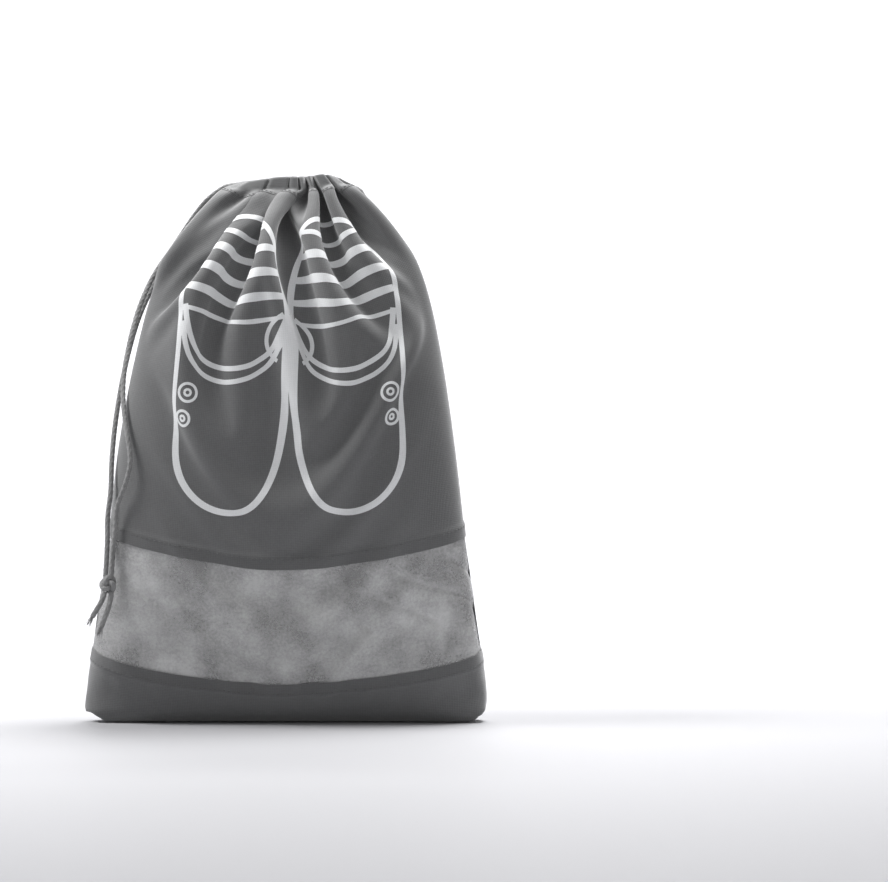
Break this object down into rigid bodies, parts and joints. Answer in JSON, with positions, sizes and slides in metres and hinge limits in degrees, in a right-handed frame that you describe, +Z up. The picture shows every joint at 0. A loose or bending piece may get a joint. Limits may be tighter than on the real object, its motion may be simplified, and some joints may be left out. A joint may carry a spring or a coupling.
{
  "type": "drawstring shoe bag",
  "caption": "Soft non-woven drawstring pouch for a pair of shoes, with a clear film window across the front, a gathered mouth and a knotted cord.",
  "frame": {"origin": "middle of the base on the ground", "axes": "+Z up to the mouth, the windowed front faces -Y, +X to the right seen from the front, where the cord tails hang on the left"},
  "size_m": [0.2891, 0.101, 0.403],
  "materials": {
    "nonwoven_cloth": "matt embossed non-woven",
    "clear_film": "glossy, slightly wrinkled",
    "sewing_thread": "spun thread",
    "braided_cord": "matt braid"
  },
  "bodies": {
    "root": {"back_panel": "nonwoven_cloth", "front_upper_panel": "nonwoven_cloth", "front_lower_band": "nonwoven_cloth", "clear_window": "clear_film", "window_top_hem": "nonwoven_cloth", "window_bottom_hem": "nonwoven_cloth", "left_seam_allowance": "nonwoven_cloth", "right_seam_allowance": "nonwoven_cloth", "bottom_seam_allowance": "nonwoven_cloth", "window_top_stitching": "sewing_thread", "window_bottom_stitching": "sewing_thread"},
    "front_mouth": {"front_mouth_channel": "nonwoven_cloth", "front_channel_stitching": "sewing_thread", "drawcord_front": "braided_cord"},
    "back_mouth": {"back_mouth_channel": "nonwoven_cloth", "back_channel_stitching": "sewing_thread", "drawcord_back": "braided_cord"},
    "cord_tails": {"cord_tail_front": "braided_cord", "cord_tail_rear": "braided_cord"},
    "knotted_ends": {"cord_knot": "braided_cord", "cord_end_short": "braided_cord", "cord_end_long": "braided_cord"}
  },
  "joints": [
    {"name": "front_mouth_opens", "type": "slide", "parent": "root", "child": "front_mouth", "axis": [0, -1, 0], "range_m": [0, 0.025]},
    {"name": "back_mouth_opens", "type": "slide", "parent": "root", "child": "back_mouth", "axis": [0, 1, 0], "range_m": [0, 0.025]},
    {"name": "tails_swing", "type": "hinge", "parent": "root", "child": "cord_tails", "pos_m": [-0.0455, 0, 0.394], "axis": [0, 1, 0], "range_deg": [0, 30]},
    {"name": "knot_rises", "type": "slide", "parent": "cord_tails", "child": "knotted_ends", "axis": [0, 0, 1], "range_m": [0, 0.05], "deforming": ["cord_tail_front", "cord_tail_rear"]}
  ],
  "couplings": [
    {"joint": "back_mouth_opens", "follows": "front_mouth_opens", "ratio": 1},
    {"joint": "knot_rises", "follows": "front_mouth_opens", "ratio": 2}
  ]
}
